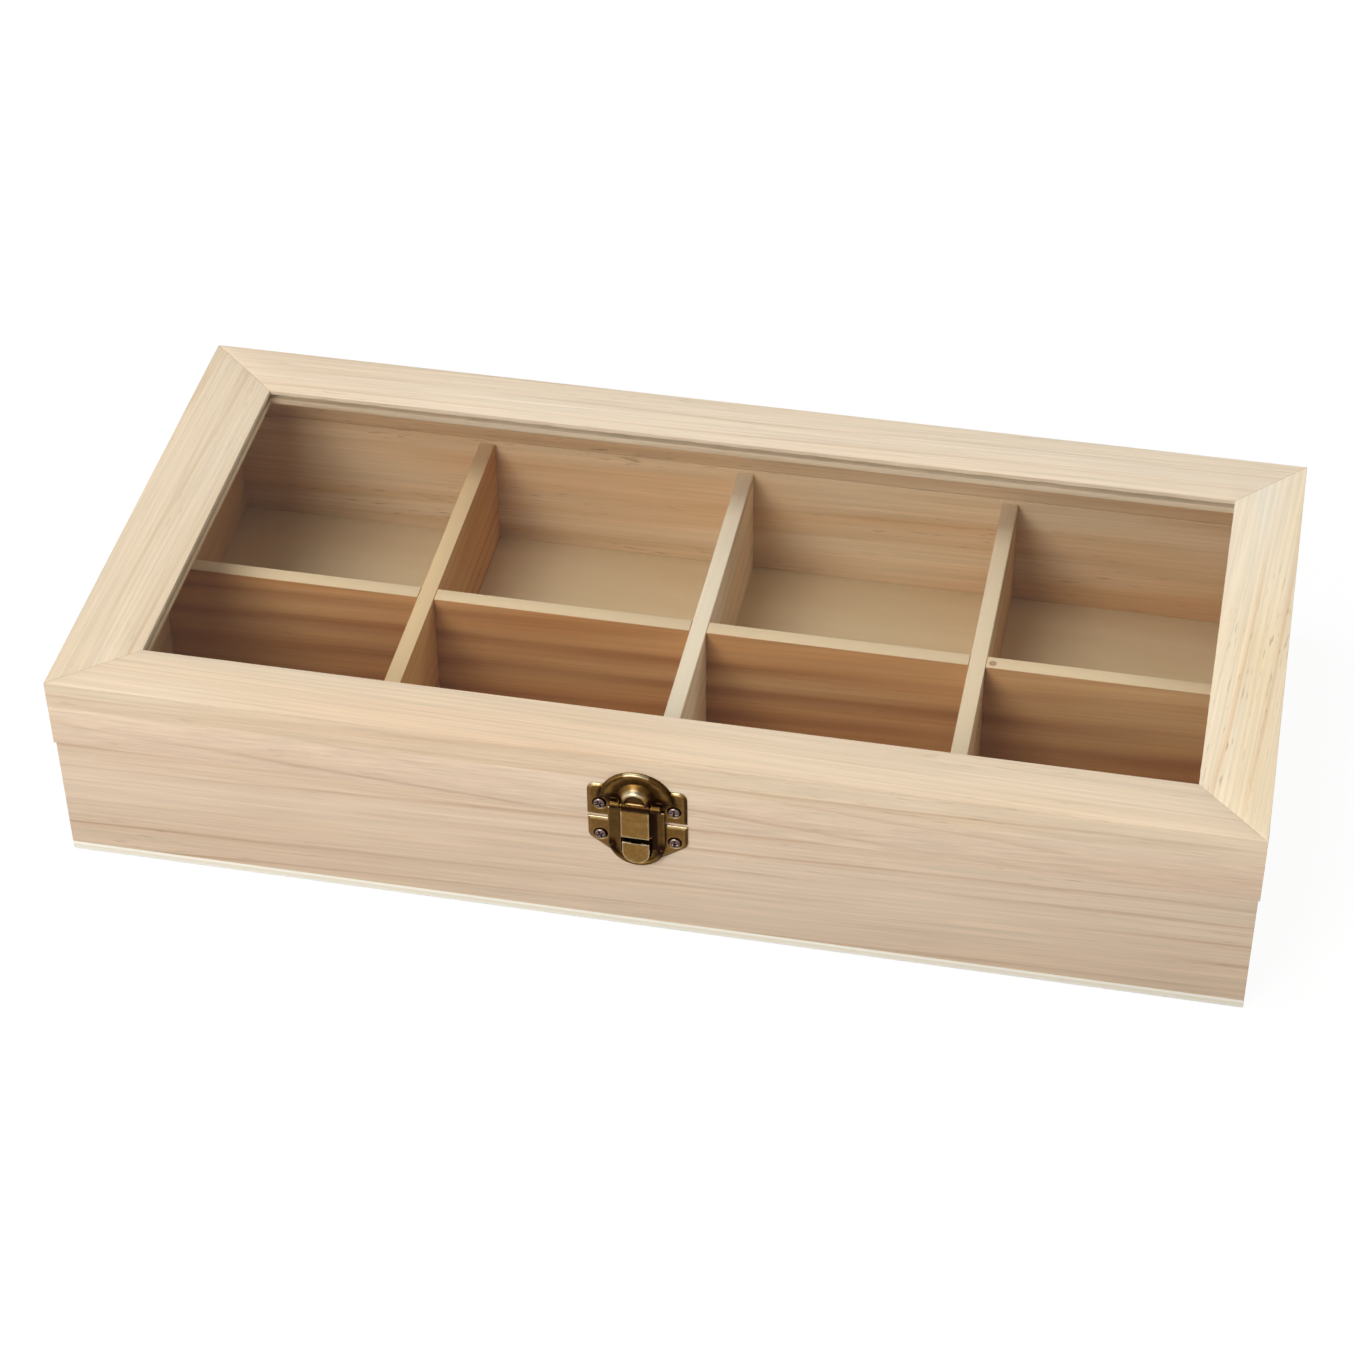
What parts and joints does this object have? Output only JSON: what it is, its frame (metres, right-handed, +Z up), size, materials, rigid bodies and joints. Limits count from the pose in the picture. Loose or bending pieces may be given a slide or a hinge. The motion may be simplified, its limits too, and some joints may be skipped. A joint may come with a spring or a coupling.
{
  "type": "tea bag organizer box",
  "caption": "Shallow wooden box with divided compartments in two rows, a hinged lid with a glass window and a small front flap latch.",
  "frame": {"origin": "middle of the underside of the base, below the middle of the closed lid", "axes": "+X to the right along the front, +Y from the latch to the hinges, +Z up"},
  "size_m": [0.35, 0.1772, 0.066],
  "materials": {
    "plywood": "raw pale plywood, sanded",
    "wall_wood": "raw paulownia, sanded",
    "rail_wood": "raw paulownia, sanded, mitred",
    "divider_wood": "raw paulownia, browner, sawn",
    "window_glass": "clear",
    "old_brass": "antique brass plate, darkened in the hollows",
    "dark_screws": "dark antique brass"
  },
  "bodies": {
    "box": {"base_panel": "plywood", "front_wall": "wall_wood", "back_wall": "wall_wood", "left_wall": "wall_wood", "right_wall": "wall_wood", "long_divider": "divider_wood", "cross_divider_left": "divider_wood", "cross_divider_middle": "divider_wood", "cross_divider_right": "divider_wood", "latch_catch_plate": "old_brass", "latch_catch_screws": "dark_screws", "left_hinge_box_leaf": "old_brass", "right_hinge_box_leaf": "old_brass", "left_hinge_pin": "old_brass", "right_hinge_pin": "old_brass", "hinge_box_screws": "dark_screws"},
    "lid": {"lid_front_wall": "wall_wood", "lid_back_wall": "wall_wood", "lid_left_wall": "wall_wood", "lid_right_wall": "wall_wood", "lid_front_rail": "rail_wood", "lid_back_rail": "rail_wood", "lid_left_rail": "rail_wood", "lid_right_rail": "rail_wood", "glass_pane": "window_glass", "latch_lid_plate": "old_brass", "latch_pin": "old_brass", "latch_lid_screws": "dark_screws", "left_hinge_lid_leaf": "old_brass", "right_hinge_lid_leaf": "old_brass", "hinge_lid_screws": "dark_screws"},
    "latch_flap": {"latch_flap": "old_brass"}
  },
  "joints": [
    {"name": "lid_hinge", "type": "hinge", "parent": "box", "child": "lid", "pos_m": [0, 0.0869, 0.04285], "axis": [-1, 0, 0], "range_deg": [0, 110]},
    {"name": "latch_hinge", "type": "hinge", "parent": "lid", "child": "latch_flap", "pos_m": [-0.0007, -0.0874, 0.05015], "axis": [-1, 0, 0], "range_deg": [0, 90]}
  ]
}
